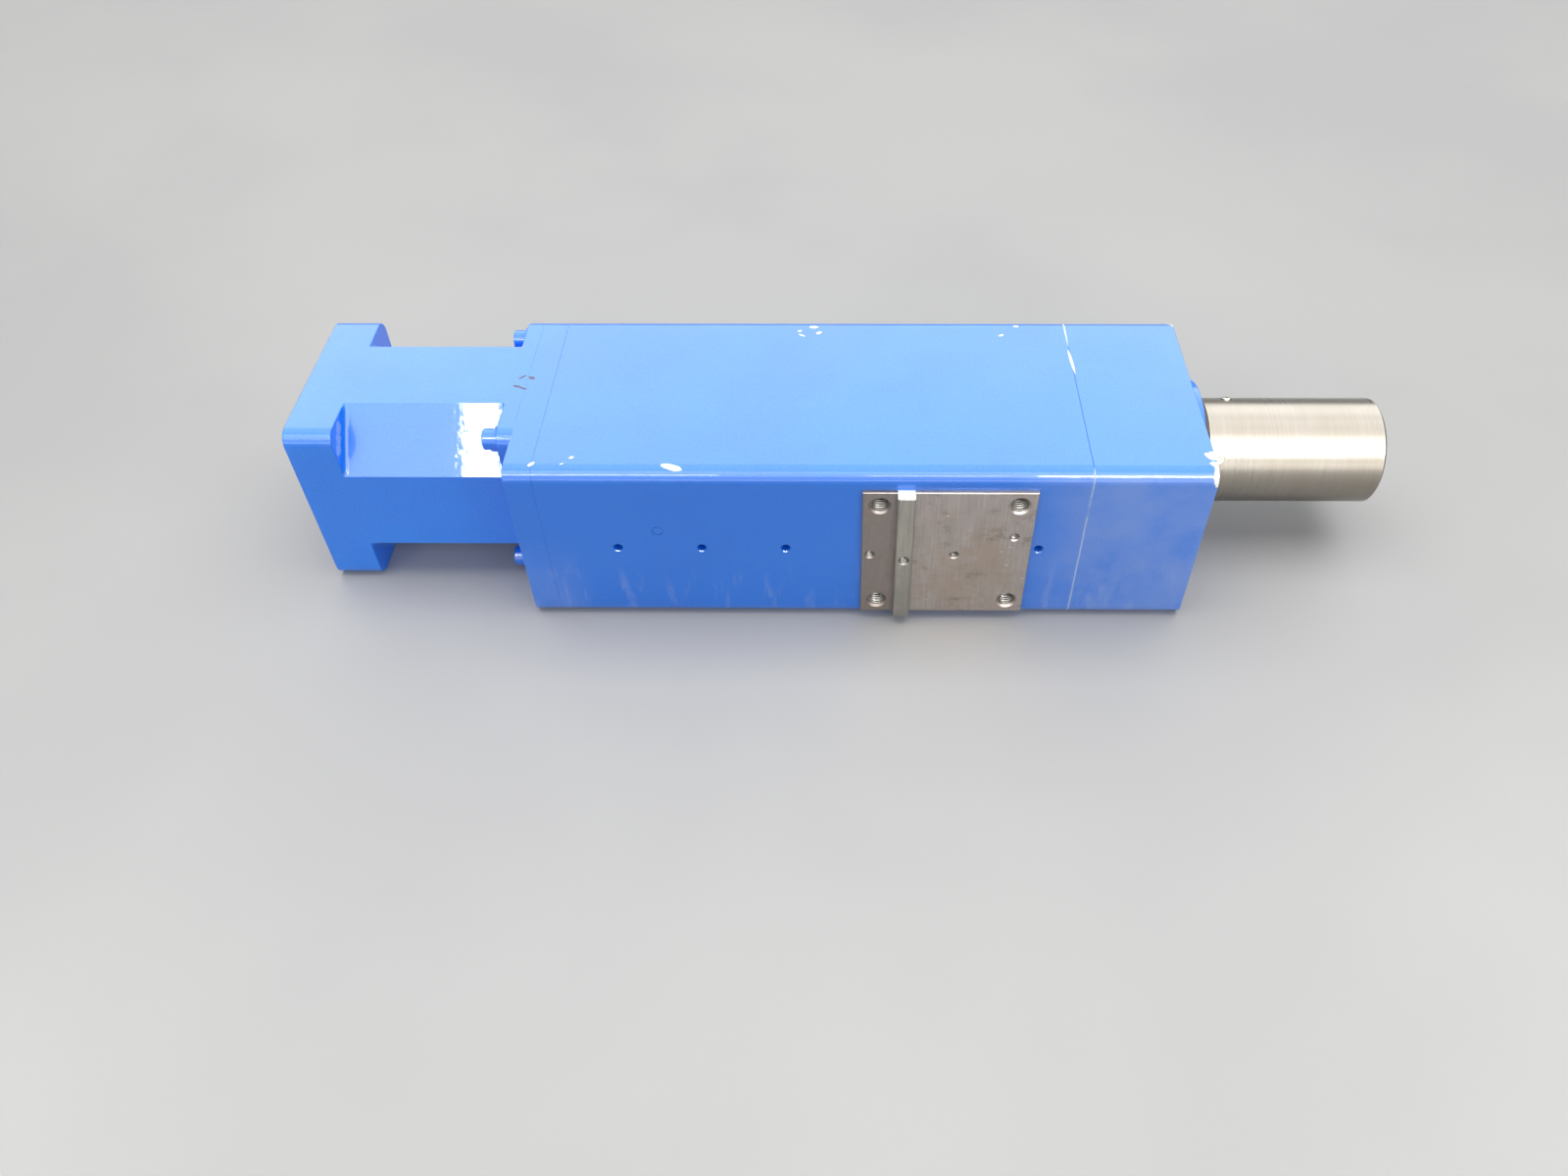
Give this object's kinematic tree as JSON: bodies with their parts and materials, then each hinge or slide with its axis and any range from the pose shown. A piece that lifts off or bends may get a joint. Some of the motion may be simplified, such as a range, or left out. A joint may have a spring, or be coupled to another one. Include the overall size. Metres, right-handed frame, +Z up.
{
  "type": "electric servo press actuator",
  "caption": "Long rectangular press actuator with a ball screw, a round ram out of one end, a square motor flange on the other and a keyed mounting pad on its side.",
  "frame": {"origin": "centre of the motor face, on the screw axis", "axes": "+X along the screw towards the ram's nose, +Z up, the mounting pad faces -Y"},
  "size_m": [0.531, 0.126, 0.095],
  "materials": {
    "blue_paint": "gloss sprayed enamel with a light orange peel",
    "ground_steel": "ground, bare",
    "key_steel": "ground, bare",
    "ram_steel": "hard chromed, finely ground round",
    "bare_steel": "machined",
    "dark_steel": "black oxide",
    "plated_steel": "zinc plated",
    "seal_rubber": "matt",
    "bronze": "turned",
    "coupling_alloy": "turned",
    "spider_plastic": "moulded",
    "band_plastic": "moulded"
  },
  "bodies": {
    "housing": {"motor_adapter": "blue_paint", "access_plug": "seal_rubber", "adapter_washers": "blue_paint", "adapter_screws": "blue_paint", "rear_plate": "blue_paint", "rear_plate_screws": "dark_steel", "dowel_pins": "bare_steel", "shaft_seal": "seal_rubber", "casing": "blue_paint", "lubrication_plug": "blue_paint", "mounting_pad": "ground_steel", "pad_screws": "dark_steel", "location_key": "key_steel", "front_cap": "blue_paint", "front_cap_screws": "dark_steel", "guide_bush": "bronze", "rod_seal": "seal_rubber", "seal_retainer": "blue_paint", "retainer_screws": "dark_steel", "wiper_ring": "seal_rubber", "bump_stop": "seal_rubber", "bearing_outer_rings": "bare_steel"},
    "screw_drive": {"ball_screw": "bare_steel", "bearing_inner_rings": "bare_steel", "bearing_balls": "bare_steel", "bearing_locknut": "bare_steel", "coupling_hub_screw": "coupling_alloy", "coupling_hub_motor": "coupling_alloy", "coupling_spider": "spider_plastic", "coupling_screws": "dark_steel"},
    "ram_assembly": {"ram": "ram_steel", "ball_nut": "bare_steel", "nut_wipers": "seal_rubber", "nut_screws": "dark_steel", "guide_band": "band_plastic", "anti_rotation_key": "bare_steel", "load_cell": "coupling_alloy", "load_tube": "bare_steel", "ram_nose": "ram_steel", "ram_screws": "plated_steel"}
  },
  "joints": [
    {"name": "ram_slide", "type": "slide", "parent": "housing", "child": "ram_assembly", "axis": [1, 0, 0], "range_m": [0, 0.15]},
    {"name": "screw_turn", "type": "hinge", "parent": "housing", "child": "screw_drive", "pos_m": [0, 0, 0], "axis": [1, 0, 0], "range_deg": [-5401, 0]}
  ],
  "couplings": [
    {"joint": "screw_turn", "follows": "ram_slide", "rad_per_m": -628.32}
  ]
}
